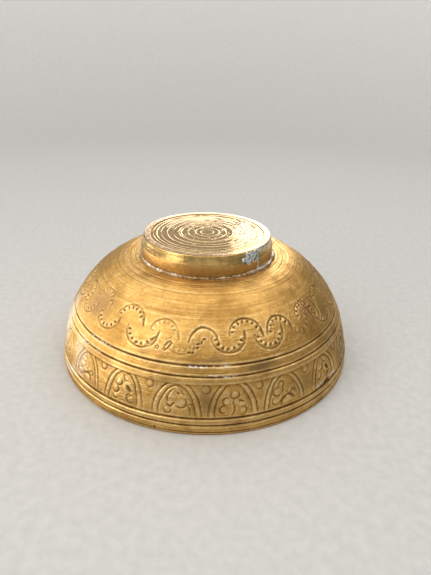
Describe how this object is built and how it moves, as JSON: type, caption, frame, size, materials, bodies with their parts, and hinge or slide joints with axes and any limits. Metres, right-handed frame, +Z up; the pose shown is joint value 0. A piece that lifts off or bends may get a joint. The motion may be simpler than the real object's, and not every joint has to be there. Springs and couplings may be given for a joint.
{
  "type": "singing bowl",
  "caption": "Engraved turned-brass singing bowl on a soldered foot, stored mouth down on its rim.",
  "frame": {"origin": "centre of the rim's resting plane, with the bowl mouth down as pictured", "axes": "+Z up the bowl's own axis, from the rim to the foot; -Y is the side that faces the viewer"},
  "size_m": [0.13, 0.13, 0.0547],
  "materials": {
    "bowl_brass": "aged engraved brass, brown patina in the recesses",
    "foot_brass": "aged turned brass, worn bright on the edge",
    "disc_brass": "coarsely turned brass, bright on the ridges",
    "seam_solder": "dull grey solder, bright where rubbed",
    "patch_solder": "grey-green weathered solder"
  },
  "bodies": {
    "root": {"bowl_shell": "bowl_brass", "foot_ring": "foot_brass", "foot_disc": "disc_brass", "foot_solder_seam": "seam_solder", "solder_repair_patch": "patch_solder"}
  },
  "joints": []
}
